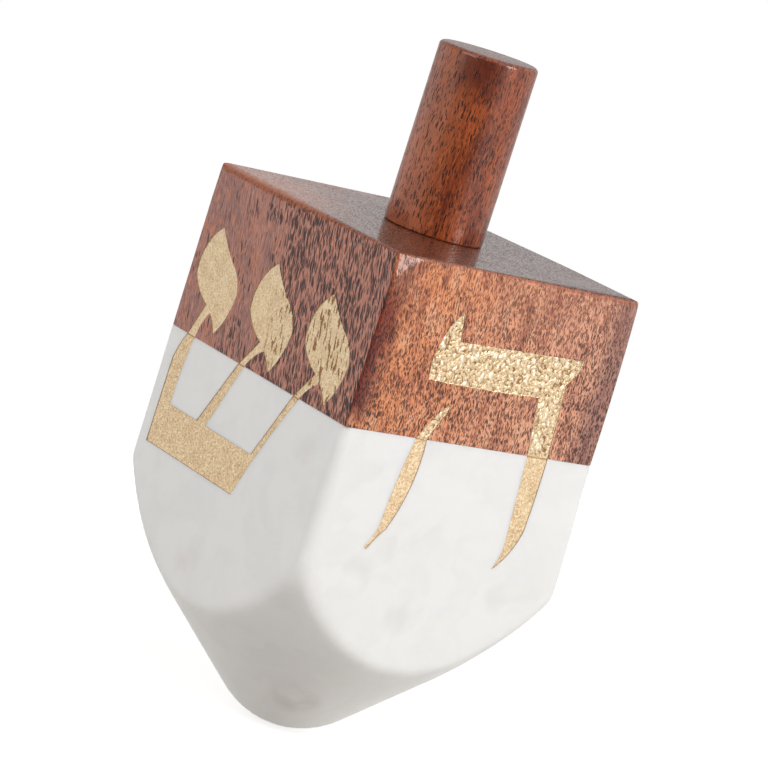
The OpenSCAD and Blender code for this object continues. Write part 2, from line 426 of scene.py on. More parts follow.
# Shin side, purplish, paler between dense pores, with orange swirls where there are few
SHIN_GROUND = tint(150, 98, 88)
SHIN_LAYERS = (
    ("figure", tint(180, 116, 96), (0.36, 0.62), 1.0),
    ("density", tint(200, 128, 104), (0.3, 0.8), 0.78),
    ("swirl", tint(196, 114, 74), (0.5, 0.66), "swirl_share"),
)
SWIRLS_BY_DENSITY = (0.4, 0.1, 0.0, 0.7)
# Fibres and flecks of both, and the flecks' shares and pale colours on each
FINE_LAYERS = (
    ("fibre", tint(150, 110, 104), (0.52, 0.72), 0.75, "MULTIPLY"),
    ("fibre", tint(236, 172, 134), (0.48, 0.28), 0.3),
    ("fleck", tint(124, 66, 48), (0.5, 0.66), "fleck_share"),
    ("fleck", "pale_fleck", (0.47, 0.34), "pale_share"),
)
FLECK_SHARES = (0.8, 0.6)
PALE_FLECK_SHARES = (0.56, 0.42)
PALE_FLECKS = (tint(244, 172, 122), tint(214, 150, 124))
# Dark heartwood along both edges of the hei side
HEARTWOOD_WANDER = 4.0
FRONT_HEARTWOOD = tint(142, 88, 88)
FRONT_STRIP = (-22.5, -28.5)
FRONT_STRIP_FOOT = (0.0, 5.0, 0.2, 0.95)
FRONT_STRIP_HEAD = (24.0, 32.0, 1.0, 0.4)
RIGHT_HEARTWOOD = tint(122, 80, 78)
RIGHT_STRIP = (24.5, 30.5, 0.0, 0.65)
# Pores
PORE_COLOURS = (tint(50, 22, 22), tint(40, 28, 32))
HEARTWOOD_PORE = tint(26, 14, 16)
PORE_SHARE = 0.92
# Arris and end grain
ARRIS_GROUND = tint(176, 96, 56)
ARRIS_LAYERS = (("fibre", tint(96, 44, 26), (0.46, 0.66), 1.0),)
ARRIS_SHARE = 0.7
END_GROUND = tint(110, 56, 38)
END_LAYERS = (
    ("ring", tint(140, 80, 56), (-0.6, 0.9), 1.0),
    ("fibre", tint(52, 24, 20), (0.52, 0.7), 1.0),
)
END_PORE = tint(36, 22, 22)
END_PORE_SHARE = 0.7
END_LEFT = tint(214, 128, 90)
END_LEFT_REACH = (12.0, 44.0, 0.0, 0.65)
# Stem, paler to the left as painted light, and with a dark patch of painted shade in front, under its top
STEM_GROUND = tint(114, 44, 14)
STEM_LAYERS = (
    ("figure", tint(162, 76, 33), (0.36, 0.64), 1.0),
    ("fibre", tint(150, 110, 100), (0.52, 0.74), 0.7, "MULTIPLY"),
    ("fibre", tint(190, 110, 62), (0.48, 0.28), 0.35),
    ("fleck", tint(80, 36, 20), (0.5, 0.66), 0.7),
    ("fleck", tint(198, 104, 54), (0.46, 0.32), 0.45),
    # Painted light: the side of the stem that faces left is made paler
    ("left", tint(200, 116, 74), (-0.6, -0.95), 0.4),
)
# Painted shade in front, under the stem's top: its colour, its height and the way it faces
STEM_FRONT_SHADE = tint(80, 26, 16)
STEM_FRONT_SHADE_H = 8
STEM_FRONT_SHADE_WAY = (-1.15, -1.4, 0.0, 0.75)
STEM_PORE = tint(48, 24, 20)
STEM_PORE_SHARE = 0.9

# Varnish: its strength on the hei and shin sides, on heartwood, and on the stem and its top
SIDE_COAT_SHARES = (0.8, 0.6)
HEARTWOOD_COAT_SHARE = 0.4
STEM_COAT_SHARES = (0.62, 0.55)
# Its share over pores, the share of the fibres in the relief, and the depth of the relief
WOOD_VARNISH = (0.08, 0.35, 0.12)
STEM_VARNISH = (0.15, 0.3, 0.1)
COAT_RELIEF = 0.012

# Marble: its bends, its noises by scale, detail and roughness, depth of its sand, and its layers
MARBLE_BEND = (16.0, 18.0)
MARBLE_CLOUD = (0.09, 4.0, 0.6)
MARBLE_VEIN = (0.045, 3.0, 0.5)
MARBLE_PATCH = (0.16, 2.0, 0.5)
MARBLE_SAND = (1.6, 3.0, 0.6)
MARBLE_RELIEF = 0.02
MARBLE_WHITE = tint(245, 244, 242)
MARBLE_LAYERS = (
    ("cloud", tint(241, 240, 239), (0.45, 0.68), 1.0),
    ("ridge", tint(228, 227, 225), (0.05, 0.0), 0.12),
)
# Faint stains: place across and above the seam, or in plan on the tip, and reach
SHIN_STAINS = (((-1, -38), 4.5), ((-5, -42), 3.5), ((22, -8), 5))
HEI_STAINS = (((-11, -21), 6), ((18, -30), 4), ((-18, -28), 5), ((-4, -35), 6))
TIP_STAIN_PLACE = ((-10.5, -17), 7)
SHIN_STAIN = tint(226, 222, 220)
HEI_STAIN = tint(224, 222, 219)
TIP_STAIN = tint(206, 202, 197)
STAIN_PATCHES = (0.3, 0.7)
SIDE_STAIN_SHARE = 0.4
TIP_STAIN_HEIGHTS = (18.0, 9.0, 0.0, 0.55)

# Gold: noises of its sand and tone, depth of the sand, and layers
GOLD_SAND = (2.6, 3.0, 0.75)
GOLD_TONE = (0.35, 2.0)
GOLD_RELIEF = 0.07
GOLD_GROUND = tint(220, 196, 159)
GOLD_LAYERS = (
    ("tone", tint(210, 184, 146), (0.35, 0.65), 1.0),
    # Painted highlight on the raised pads and painted shade in the furrows, following the leaf's relief
    ("relief", tint(255, 246, 226), (0.52, 0.84), 0.8),
    ("relief", tint(128, 84, 40), (0.37, 0.06), 0.95),
    ("sand", tint(150, 106, 58), (0.5, 0.62), "sand_share"),
    ("sand", tint(255, 240, 212), (0.46, 0.34), "sand_share"),
    ("rim", tint(130, 90, 50), (0.4, 1.0), 0.8),
)

# Bare wood: rate of its grain along each axis, its noise, levels and relief
PLAIN_RATE = (2.4, 2.4, 0.2)
PLAIN_NOISE = (1.0, 3.0, 0.6)
PLAIN_LEVELS = (0.4, 0.7)
PLAIN_RELIEF = 0.08


def grain_place(net):
    """Place in millimetres, sheared so that the leaning grain runs straight up, and its plain parts."""
    x, y, z = net.split(net.millimetres())
    across = net.plus(x, net.times(z, GRAIN_LEAN[0]))
    along = net.plus(y, net.times(z, GRAIN_LEAN[1]))
    return net.join(across, along, z), x, y, z


def pores(net, place, across, along, reach, density):
    """Dark dashes of the open grain, in the given share of cells of a width and a length."""
    distance, chance, size = net.voronoi(net.cells(place, across, along))
    radius = net.times(net.blend(*PORE_SIZE_SHARES, size), reach)
    drop = net.smooth(distance, radius, net.times(radius, PORE_FLOOR_SHARE))
    return net.times(drop, net.smooth(net.minus(density, chance), -PORE_SOFT_SHARE, PORE_SOFT_SHARE))


def shin_density(net, across, height, wander):
    """Share of the shin side's cells with a pore: many to the right of a wandering border."""
    border = net.plus(across, net.times(net.minus(wander, 0.5), BORDER_WANDER))
    density = net.smooth(border, *BORDER_DENSITY)
    for centre, radius, more in SHIN_CLUSTERS:
        density = net.plus(density, net.times(net.spot(across, height, centre, radius), more))
    return density


def sides_colour(net, place, x, fibre, density, shin):
    """Colour of the hei side and the shin side, with fibres and flecks, but without pores."""
    bent = net.warped(place, *BEND)
    figure = net.grain(bent, *FIGURE)
    hei_colour = net.layers(HEI_LEFT, HEI_LAYERS, x=x, figure=figure, band=net.grain(bent, *BAND))
    swirl = net.grain(net.warped(place, *SWIRL_BEND), *SWIRL)
    swirl_share = net.smooth(density, *SWIRLS_BY_DENSITY)
    shin_colour = net.layers(
        SHIN_GROUND, SHIN_LAYERS, figure=figure, density=density, swirl=swirl, swirl_share=swirl_share
    )
    return net.layers(
        net.mix(hei_colour, shin_colour, shin),
        FINE_LAYERS,
        fibre=fibre,
        fleck=net.grain(bent, *FLECK),
        fleck_share=net.blend(*FLECK_SHARES, shin),
        pale_fleck=net.mix(*PALE_FLECKS, shin),
        pale_share=net.blend(*PALE_FLECK_SHARES, shin),
    )


def wood_pores(net, bent, cloud, density):
    """Depth of the pores on the shin side, which are long, and on the others, short ones in two sizes."""
    long_pores = pores(net, bent, *LONG_PORES, density)
    more_pores = pores(net, net.vector("ADD", bent, MORE_PORES_SHIFT), *MORE_PORES, density)
    thin_density = net.plus(net.times(density, THIN_MORE_SHARE), THIN_LEAST_SHARE)
    thin_pores = pores(net, bent, *THIN_PORES, thin_density)
    shin_depth = net.math("MAXIMUM", long_pores, more_pores)
    shin_depth = net.math("MAXIMUM", shin_depth, net.times(thin_pores, THIN_PORE_SHARE))
    fine_pores = pores(net, bent, *FINE_PORES, FINE_DENSITY)
    coarse_pores = pores(net, bent, *COARSE_PORES, net.smooth(cloud, *COARSE_DENSITY))
    side_depth = net.math("MAXIMUM", net.times(fine_pores, FINE_PORE_SHARE), coarse_pores)
    return shin_depth, side_depth


def end_grain(net, place, fibre):
    """Colour of wood that is cut across the grain: wavering rings round a pith outside the piece."""
    pith = net.warped(net.vector("SUBTRACT", place, PITH), *RING_BEND)
    x, y = net.split(pith)[:2]
    radius = net.math("SQRT", net.plus(net.times(x, x), net.times(y, y)))
    ring = net.math("SINE", net.times(radius, RING_RATE))
    return net.layers(END_GROUND, END_LAYERS, ring=ring, fibre=fibre)


def varnish(net, coat, depth, fibre, pore_share, fibre_share, relief_depth):
    """Clear coat that is thinner over the pores, on wood with the relief of its pores and fibres."""
    coat = net.times(coat, net.smooth(depth, 0.0, 1.0, 1.0, pore_share))
    relief = net.plus(net.times(depth, -1.0), net.times(fibre, fibre_share))
    normal = net.bump(relief, relief_depth)
    net.paint(Coat_Weight=coat, Normal=normal, Coat_Normal=net.bump(relief, COAT_RELIEF))


def wood_finish(name):
    material, net = finish(name, Roughness=0.42, Specular_IOR_Level=0.25, Coat_Roughness=0.1)
    place, x, y, z = grain_place(net)
    nx, ny, nz = net.facing()
    shin = net.smooth(nx, *WOOD_SHIN_WAY)
    hei = net.smooth(ny, *WOOD_HEI_WAY)
    top = net.smooth(nz, *TOP_WAY)
    height = net.minus(z, seam_z)
    bent = net.warped(place, *BEND)
    fibre = net.grain(bent, *FIBRE)
    cloud = net.grain(place, *CLOUD)
    wander = net.grain(place, *WANDER)
    density = shin_density(net, net.times(y, -1.0), height, wander)

    colour = sides_colour(net, place, x, fibre, density, shin)

    # Dark heartwood, which keeps the flecks at the front edge
    wandering_x = net.plus(x, net.times(wander, HEARTWOOD_WANDER))
    strip = net.times(net.smooth(wandering_x, *FRONT_STRIP), net.smooth(height, *FRONT_STRIP_FOOT))
    near_front = net.times(net.times(strip, net.smooth(height, *FRONT_STRIP_HEAD)), hei)
    colour = net.mix(colour, FRONT_HEARTWOOD, near_front, "MULTIPLY")
    near_right = net.times(net.smooth(wandering_x, *RIGHT_STRIP), hei)
    colour = net.mix(colour, RIGHT_HEARTWOOD, near_right)

    shin_depth, side_depth = wood_pores(net, bent, cloud, density)
    side_depth = net.times(side_depth, net.blend(net.smooth(height, *SIDE_DEPTH), 1.0, top))
    depth = net.blend(side_depth, shin_depth, shin)
    pore_colour = net.mix(net.mix(*PORE_COLOURS, shin), HEARTWOOD_PORE, near_front)
    colour = net.mix(colour, pore_colour, net.times(depth, PORE_SHARE))

    # The sanded arris shows brighter fibres, and the top face end grain
    arris = net.times(net.smooth(nz, *ARRIS_FROM_WAY), net.smooth(nz, *ARRIS_TO_WAY))
    bright = net.layers(ARRIS_GROUND, ARRIS_LAYERS, fibre=fibre)
    colour = net.mix(colour, bright, net.times(arris, ARRIS_SHARE))
    end_colour = end_grain(net, place, fibre)
    end_colour = net.mix(end_colour, END_PORE, net.times(side_depth, END_PORE_SHARE))
    end_colour = net.mix(end_colour, END_LEFT, net.smooth(net.minus(y, x), *END_LEFT_REACH))
    net.paint(Base_Color=net.mix(colour, end_colour, top))

    coat = net.blend(net.blend(*SIDE_COAT_SHARES, shin), 1.0, top)
    coat = net.times(coat, net.smooth(near_front, 0.0, 1.0, 1.0, HEARTWOOD_COAT_SHARE))
    varnish(net, coat, depth, fibre, *WOOD_VARNISH)
    return material


def stem_finish(name):
    material, net = finish(name, Roughness=0.4, Specular_IOR_Level=0.25, Coat_Roughness=0.1)
    place = net.millimetres()
    z = net.split(place)[2]
    nx, ny, nz = net.facing()
    top = net.smooth(nz, *TOP_WAY)
    bent = net.warped(place, *BEND)
    fibre = net.grain(bent, *FIBRE)
    cloud = net.grain(place, *STEM_CLOUD)
    fleck = net.grain(bent, *FLECK)
    figure = net.grain(bent, *STEM_FIGURE)
    colour = net.layers(STEM_GROUND, STEM_LAYERS, figure=figure, fibre=fibre, fleck=fleck, left=nx)
    # Painted shade: darker in front, just under the top
    front = net.smooth(net.plus(nx, ny), *STEM_FRONT_SHADE_WAY)
    rise = net.plus(z, net.times(cloud, STEM_FRONT_SHADE_H))
    front_shade = net.times(front, net.smooth(rise, stem_high.z - STEM_FRONT_SHADE_H, stem_high.z))
    colour = net.mix(colour, STEM_FRONT_SHADE, front_shade)

    fine_pores = pores(net, bent, *STEM_FINE_PORES, net.smooth(cloud, *STEM_FINE_DENSITY))
    coarse_pores = pores(net, bent, *STEM_COARSE_PORES, net.smooth(cloud, *STEM_COARSE_DENSITY))
    depth = net.math("MAXIMUM", net.times(fine_pores, STEM_FINE_PORE_SHARE), coarse_pores)
    colour = net.mix(colour, STEM_PORE, net.times(depth, STEM_PORE_SHARE))
    net.paint(Base_Color=net.mix(colour, end_grain(net, place, fibre), top))
    varnish(net, net.blend(*STEM_COAT_SHARES, top), depth, fibre, *STEM_VARNISH)
    return material


def marble_finish(name):
    material, net = finish(
        name, Roughness=0.34, Specular_IOR_Level=0.4, Subsurface_Weight=0.5, Subsurface_Scale=1.6 * MM,
        Subsurface_Radius=(1.0, 0.95, 0.85),
    )
    place = net.millimetres()
    x, y, z = net.split(place)
    nx, ny = net.facing()[:2]
    height = net.minus(z, seam_z)
    bent = net.warped(place, *MARBLE_BEND)
    cloud = net.noise(bent, *MARBLE_CLOUD)
    vein = net.noise(bent, *MARBLE_VEIN)
    ridge = net.math("ABSOLUTE", net.minus(vein, 0.5))
    patches = net.smooth(net.noise(place, *MARBLE_PATCH), *STAIN_PATCHES)

    colour = net.layers(MARBLE_WHITE, MARBLE_LAYERS, cloud=cloud, ridge=ridge)
    for way, across, stains, stain_colour in (
        (nx, net.times(y, -1.0), SHIN_STAINS, SHIN_STAIN),
        (ny, x, HEI_STAINS, HEI_STAIN),
    ):
        side = net.smooth(way, *STONE_SIDE_WAY, 0.0, SIDE_STAIN_SHARE)
        for centre, radius in stains:
            stain = net.times(net.spot(across, height, centre, radius), patches)
            colour = net.mix(colour, stain_colour, net.times(stain, side))
    stain = net.times(net.spot(x, y, *TIP_STAIN_PLACE), patches)
    colour = net.mix(colour, TIP_STAIN, net.times(stain, net.smooth(z, *TIP_STAIN_HEIGHTS)))
    sand = net.noise(place, *MARBLE_SAND)
    net.paint(Base_Color=colour, Normal=net.bump(sand, MARBLE_RELIEF))
    return material


def gold_finish(name, sand_share, roughness):
    """Gold leaf: pale on its pads as a painted highlight, brown in its furrows as painted shade, brown
    along its rim, and sandy to a share.
    """
    material, net = finish(name, Metallic=0.8, Roughness=roughness)
    place = net.millimetres()
    sand = net.noise(place, *GOLD_SAND)
    tone = net.noise(place, *GOLD_TONE)
    relief = net.attribute("relief")
    rim = net.attribute("rim")
    colour = net.layers(
        GOLD_GROUND, GOLD_LAYERS, tone=tone, relief=relief, sand=sand, sand_share=sand_share, rim=rim
    )
    net.paint(Base_Color=colour, Normal=net.bump(sand, GOLD_RELIEF))
    return material


def plain_grain_finish(name, pale, dark):
    """Bare wood with fine grain, for what is hidden or cut."""
    material, net = finish(name, Roughness=0.6)
    place = net.vector("MULTIPLY", net.millimetres(), PLAIN_RATE)
    fibre = net.noise(place, *PLAIN_NOISE)
    colour = net.mix(pale, dark, net.smooth(fibre, *PLAIN_LEVELS))
    net.paint(Base_Color=colour, Normal=net.bump(fibre, PLAIN_RELIEF))
    return material


# Meshes


def new_piece(name, bm, material, sharp_angle=BODY_SHARP):
    """An object of a mesh, smooth apart from its sharp edges."""
    mesh = bpy.data.meshes.new(name)
    bmesh.ops.recalc_face_normals(bm, faces=bm.faces)
    bm.to_mesh(mesh)
    bm.free()
    mesh.materials.append(material)
    mesh.shade_smooth()
    mesh.set_sharp_from_angle(angle=math.radians(sharp_angle))
    return new_object(name, mesh)


def stand_for(piece, node):
    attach(piece, "root")
    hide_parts(node)


def loft(rings, first, last):
    """A closed mesh through rings of as many points each, between a first and a last point."""
    bm = bmesh.new()
    rows = [[bm.verts.new(Vector(point) * MM) for point in ring] for ring in rings]
    count = len(rows[0])
    start = bm.verts.new(Vector(first) * MM)
    end = bm.verts.new(Vector(last) * MM)
    for i in range(count):
        j = (i + 1) % count
        bm.faces.new((start, rows[0][j], rows[0][i]))
        bm.faces.new((end, rows[-1][i], rows[-1][j]))
        for low, high in zip(rows, rows[1:]):
            bm.faces.new((low[i], low[j], high[j], high[i]))
    return bm


def round_ring(radius, z, angles):
    return [(radius * math.cos(a), radius * math.sin(a), z) for a in angles]


def lathe(profile):
    """A closed turned mesh through a profile of distances from the axis and heights."""
    angles = [2 * math.pi * i / BAR_STEPS for i in range(BAR_STEPS)]
    rings = [round_ring(radius, z, angles) for radius, z in profile]
    return loft(rings, (0, 0, profile[0][1]), (0, 0, profile[-1][1]))


def arc(centre_r, centre_z, radius, start, end, steps):
    """Points of a profile along a round edge, by angles from the level in degrees."""
    angles = [math.radians(mixed(start, end, i / steps)) for i in range(steps + 1)]
    return [(centre_r + radius * math.cos(a), centre_z + radius * math.sin(a)) for a in angles]


def plan(radii):
    """Points round the body's plan, counter-clockwise from the back corner, each with the way it faces."""
    corners = []
    for turn, radius in enumerate(radii):
        start = turn * math.pi / 2
        middle = start + math.pi / 4
        centre = Vector((math.cos(middle), math.sin(middle))) * math.sqrt(2) * (half_w - radius)
        angles = [start + math.pi / 2 * i / CORNER_STEPS for i in range(CORNER_STEPS + 1)]
        ways = [Vector((math.cos(a), math.sin(a))) for a in angles]
        corners.append([(centre + way * radius, way) for way in ways])
    points = []
    for turn, corner in enumerate(corners):
        following = corners[(turn + 1) % len(corners)]
        points += corner
        for i in range(1, SIDE_STEPS):
            points.append((corner[-1][0].lerp(following[0][0], i / SIDE_STEPS), corner[-1][1]))
    return points


def edge_radii(z):
    if z > seam_z:
        return [mixed(radii[1], radii[0], (z - seam_z) / wood_h) for radii in EDGE_RADII]
    share = smoothstep(seam_z - z, 0, EDGE_EASE_H)
    return [mixed(radii[2], radii[3], share) for radii in EDGE_RADII]


def arris_points(angle, inset):
    """Points round the arris at an angle up its round, drawn in by an inset, each with the radius there."""
    draw = 1 - math.cos(angle)
    outs = [Vector((math.cos(turn * math.pi / 2), math.sin(turn * math.pi / 2))) for turn in range(4)]
    corners = []
    for turn, edge_r in enumerate(edge_radii(top_z)):
        before = ARRIS_RADII[turn - 1][1]
        after = ARRIS_RADII[turn][0]
        way_in = outs[turn]
        way_out = outs[(turn + 1) % 4]
        round_r = max(edge_r - max(before, after) * draw - inset, ARRIS_CORNER_R)
        centre = way_in * (half_w - before * draw - inset - round_r)
        centre += way_out * (half_w - after * draw - inset - round_r)
        corner = []
        for i in range(CORNER_STEPS + 1):
            bend = math.pi / 2 * i / CORNER_STEPS
            place = centre + (way_in * math.cos(bend) + way_out * math.sin(bend)) * round_r
            corner.append((place, mixed(before, after, math.sin(bend) ** 2)))
        corners.append(corner)
    points = []
    for turn, corner in enumerate(corners):
        following = corners[(turn + 1) % 4]
        out = outs[(turn + 1) % 4]
        points += corner
        for i in range(1, SIDE_STEPS):
            radius = mixed(*ARRIS_RADII[turn], smoothstep(i / SIDE_STEPS, ARRIS_EVEN_SHARE, 1))
            place = corner[-1][0].lerp(following[0][0], i / SIDE_STEPS)
            place += out * (half_w - radius * draw - inset - place.dot(out))
            points.append((place, radius))
    return points


def arris_ring(angle, inset):
    ring = []
    for place, radius in arris_points(angle, inset):
        z = top_z - radius * (1 - math.sin(angle))
        p = eased_corner(place, z)
        ring.append((p.x, p.y, z))
    return ring


def nearest_edge(point):
    """Which long edge is nearest to a point of the plan, and how far it is round the axis."""
    angle = math.atan2(point.y, point.x) % (2 * math.pi)
    turn = int(angle // (math.pi / 2))
    return turn, abs(angle - turn * math.pi / 2 - math.pi / 4)


def front_roll(point, z):
    """How far a point of the hei side is sanded in beside the top of the front edge."""
    plane = ROLL_DEPTH - ROLL_ACROSS * (point.x + half_w) - ROLL_DOWN * (top_z - z)
    soft = (plane + math.sqrt(plane * plane + ROLL_SOFT * ROLL_SOFT)) / 2
    return soft * smoothstep(half_w + point.y, ROLL_END, ROLL_FULL)


def eased_corner(point, z):
    """A point of the block's plan, drawn in where the upper ends of the long edges are eased."""
    turn = nearest_edge(point)[0]
    height, depth, blend = CORNER_EASES[turn]
    rise = max(z - (top_z - height), 0) / height
    point = point + Vector((0, front_roll(point, z)))
    if rise == 0:
        return point
    edge_r = edge_radii(z)[turn]
    reach = math.sqrt(2) * (half_w - edge_r) + edge_r
    soft = blend * smoothstep(rise, 0, 1)
    limit = reach - depth * rise * rise + soft / 4
    return point * (soft_min(point.length, limit, max(soft, SAME_LEVEL)) / point.length)


def bore_rings(radius, low, high, angles):
    return [round_ring(radius, low, angles), round_ring(radius, high, angles)]


def wood_block_mesh():
    outline = plan(edge_radii(top_z))
    angles = [math.atan2(point.y, point.x) for point, way in outline]
    rings = bore_rings(dowel_r + GLUE_GAP, dowel_high.z + END_GAP, seam_z, angles)
    seam_points = [point - way * SEAM_RIM for point, way in plan(edge_radii(seam_z + SEAM_RIM))]
    rings.append([(p.x, p.y, seam_z) for p in seam_points])
    ease_start = top_z - CORNER_EASES[0][0]
    ease_end = top_z - ARRIS_MAX - ARRIS_ROOM
    levels = [mixed(seam_z + SEAM_RIM, ease_start, i / LEVEL_STEPS) for i in range(LEVEL_STEPS)]
    levels += [mixed(ease_start, ease_end, i / LEVEL_STEPS) for i in range(LEVEL_STEPS + 1)]
    for z in levels:
        points = [eased_corner(point, z) for point, way in plan(edge_radii(z))]
        rings.append([(p.x, p.y, z) for p in points])
    low_points = [point for point, way in plan(edge_radii(ease_end))]
    for step in range(1, LEVEL_STEPS):
        ring = []
        for low, (high, radius) in zip(low_points, arris_points(0, 0)):
            z = mixed(ease_end, top_z - radius, step / LEVEL_STEPS)
            p = eased_corner(low.lerp(high, step / LEVEL_STEPS), z)
            ring.append((p.x, p.y, z))
        rings.append(ring)
    rings += [arris_ring(math.pi / 2 * step / ARRIS_STEPS, 0) for step in range(ARRIS_STEPS + 1)]
    rings.append(arris_ring(math.pi / 2, TOP_RIM))
    rings += bore_rings(TENON_R + GLUE_GAP, top_z, stem_low.z - END_GAP, angles)
    return loft(rings, (0, 0, dowel_high.z + END_GAP), (0, 0, stem_low.z - END_GAP))


def turned_radius(z):
    """Distance of the turned underside from the axis: round tip, straight cone and curved shoulder."""
    tip_end_r = TIP_R * math.cos(CONE_ANGLE)
    tip_end_z = TIP_R * (1 - math.sin(CONE_ANGLE))
    cone_end_r = half_w - CONE_INSET
    cone_end_z = tip_end_z + (cone_end_r - tip_end_r) / math.tan(CONE_ANGLE)
    if z < tip_end_z:
        return math.sqrt(TIP_R ** 2 - (TIP_R - z) ** 2)
    if z < cone_end_z:
        return tip_end_r + (z - tip_end_z) * math.tan(CONE_ANGLE)
    centre_r = cone_end_r - SHOULDER_R * math.cos(CONE_ANGLE)
    centre_z = cone_end_z + SHOULDER_R * math.sin(CONE_ANGLE)
    return centre_r + math.sqrt(SHOULDER_R ** 2 - (z - centre_z) ** 2)


def flare(turn, off, z):
    """How far the marble stands out beside its right edge, which was ground less."""
    if turn != RIGHT_EDGE:
        return 0
    drop = smoothstep(seam_z - z, 0, FLARE_DROP) * smoothstep(z, FLARE_LOW_Z, FLARE_FULL_Z)
    return FLARE * drop * smoothstep(off, FLARE_REACH, 0)


def marble_base_mesh():
    tip_end = math.pi / 2 - CONE_ANGLE
    fine_top = seam_z - FINE_DROP
    levels = [TIP_R * (1 - math.cos(tip_end * i / TURNED_STEPS)) for i in range(1, TURNED_STEPS + 1)]
    fine_low = levels[-1]
    levels += [mixed(fine_low, fine_top, i / CONE_STEPS) for i in range(1, CONE_STEPS + 1)]
    levels += [mixed(fine_top, seam_z - SEAM_RIM, i / UPPER_STEPS) for i in range(1, UPPER_STEPS + 1)]
    rings = []
    for z in levels:
        ring = []
        for point, way in plan(edge_radii(z)):
            reach = point.length
            turn, off = nearest_edge(point)
            away = smoothstep(off, NEAR_EDGE, OFF_EDGE)
            blend = mixed(EDGE_BLENDS[turn], SIDE_BLEND, away)
            p = point * ((soft_min(reach, turned_radius(z), blend) + flare(turn, off, z)) / reach)
            ring.append((p.x, p.y, z))
        rings.append(ring)
    outline = plan(edge_radii(seam_z))
    seam_points = [point - way * SEAM_RIM for point, way in outline]
    rings.append([(p.x, p.y, seam_z) for p in seam_points])
    angles = [math.atan2(point.y, point.x) for point, way in outline]
    bore_end = dowel_low.z - END_GAP
    rings += bore_rings(dowel_r + GLUE_GAP, seam_z, bore_end, angles)
    return loft(rings, (0, 0, 0), (0, 0, bore_end))


def stem_mesh():
    profile = [(TENON_R - TENON_BEVEL, stem_low.z), (TENON_R, stem_low.z + TENON_BEVEL), (TENON_R, top_z)]
    profile += arc(stem_r - STEM_FOOT_R, top_z + STEM_FOOT_R, STEM_FOOT_R, -90, 0, STEM_FOOT_STEPS)
    low = top_z + STEM_FOOT_R
    high = stem_high.z - STEM_TOP_R
    profile += [(stem_r, mixed(low, high, i / TURNED_STEPS)) for i in range(1, TURNED_STEPS)]
    profile += arc(stem_r - STEM_TOP_R, high, STEM_TOP_R, 0, 90, CORNER_STEPS)
    return lathe(profile)


# Letters

# Share of the leaf's pads and slits that show, on the shin side from closed to open grain
STONE_LEAF_SHARES = (0.12, 0.0)
WOOD_LEAF_SHARES = (1.0, 0.2)
SHIN_PAD_SHARES = (0.12, 0.35)
SHIN_SLIT_SHARE = 0.95
SHIN_OPENING = (-10, 8)
# Noise of the leaf: width and length of its features, and layer of the noise
COARSE_PADS = (1.15, 1.4, 3.1)
FINE_PADS = (0.55, 0.65, 7.7)
SLITS = (0.5, 2.0, 5.3)
SLIT_LEVELS = (0.22, 0.36)
COARSE_PAD_SHARE = 0.6
MEAN_RELIEF = 0.5
# Gap between the rim and the grid inside it, in spacings of the grid
RIM_GAP_SHARE = 0.6
# Triangulation: what it keeps, and how near it joins points
KEEP_INSIDE = 1
POINT_GAP = 0.0001


class Stroke:
    """One gold inlay: its side, the outline of its face in that side's plane, and how deep it lies."""

    def __init__(self, node):
        self.node = node
        self.out, self.right = SIDES[node.split("_")[0]]
        low, high = box_mm(node)
        corners = [low, high]
        depths = [half_w - corner.dot(self.out) for corner in corners]
        self.face_depth = min(depths)
        self.floor_depth = max(depths)
        self.in_wood = low.z > seam_z - GLUE_GAP
        self.lean = self.right.x * GRAIN_LEAN[0] + self.right.y * GRAIN_LEAN[1]
        self.outline = self.read_outline()

    def read_outline(self):
        bm = bmesh.new()
        bm.from_mesh(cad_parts[self.node].data)
        bmesh.ops.remove_doubles(bm, verts=bm.verts, dist=SAME_PLACE * MM)
        level = (half_w - self.face_depth) * MM
        near = SAME_LEVEL * MM
        flat = [f for f in bm.faces if all(level - v.co.dot(self.out) < near for v in f.verts)]
        rim = {}
        for face in flat:
            for loop in face.loops:
                if sum(other in flat for other in loop.edge.link_faces) == 1:
                    rim[loop.vert] = loop.link_loop_next.vert
        start = next(iter(rim))
        points = []
        vert = start
        while True:
            place = vert.co / MM
            points.append(Vector((place.dot(self.right), place.z - seam_z)))
            vert = rim[vert]
            if vert == start:
                break
        bm.free()
        return points

    def leaf_shares(self, point):
        """How much of the leaf's pads and slits shows at a point: little on stone, more over open pores."""
        if not self.in_wood:
            return STONE_LEAF_SHARES
        if self.node.startswith("shin"):
            open_share = smoothstep(point.x, *SHIN_OPENING)
            return mixed(*SHIN_PAD_SHARES, open_share), SHIN_SLIT_SHARE * open_share
        return WOOD_LEAF_SHARES

    def place(self, point, depth):
        return (self.right * point.x + self.out * (half_w - depth) + UP * (seam_z + point.y)) * MM

    def cut(self, bm, overrun):
        """Adds the solid that cuts this stroke's recess, past the face and past the seam."""
        past = -overrun if self.in_wood else overrun
        points = []
        for p, q in zip(self.outline, self.outline[1:] + self.outline[:1]):
            points.append(p)
            if abs(p.y) < SAME_PLACE and abs(q.y) < SAME_PLACE:
                points += [Vector((p.x, past)), Vector((q.x, past))]
        floor = [bm.verts.new(self.place(p, self.floor_depth)) for p in points]
        lid = [bm.verts.new(self.place(p, -overrun)) for p in points]
        bm.faces.new(lid)
        bm.faces.new(floor[::-1])
        for i in range(len(points)):
            j = (i + 1) % len(points)
            bm.faces.new((floor[i], floor[j], lid[j], lid[i]))


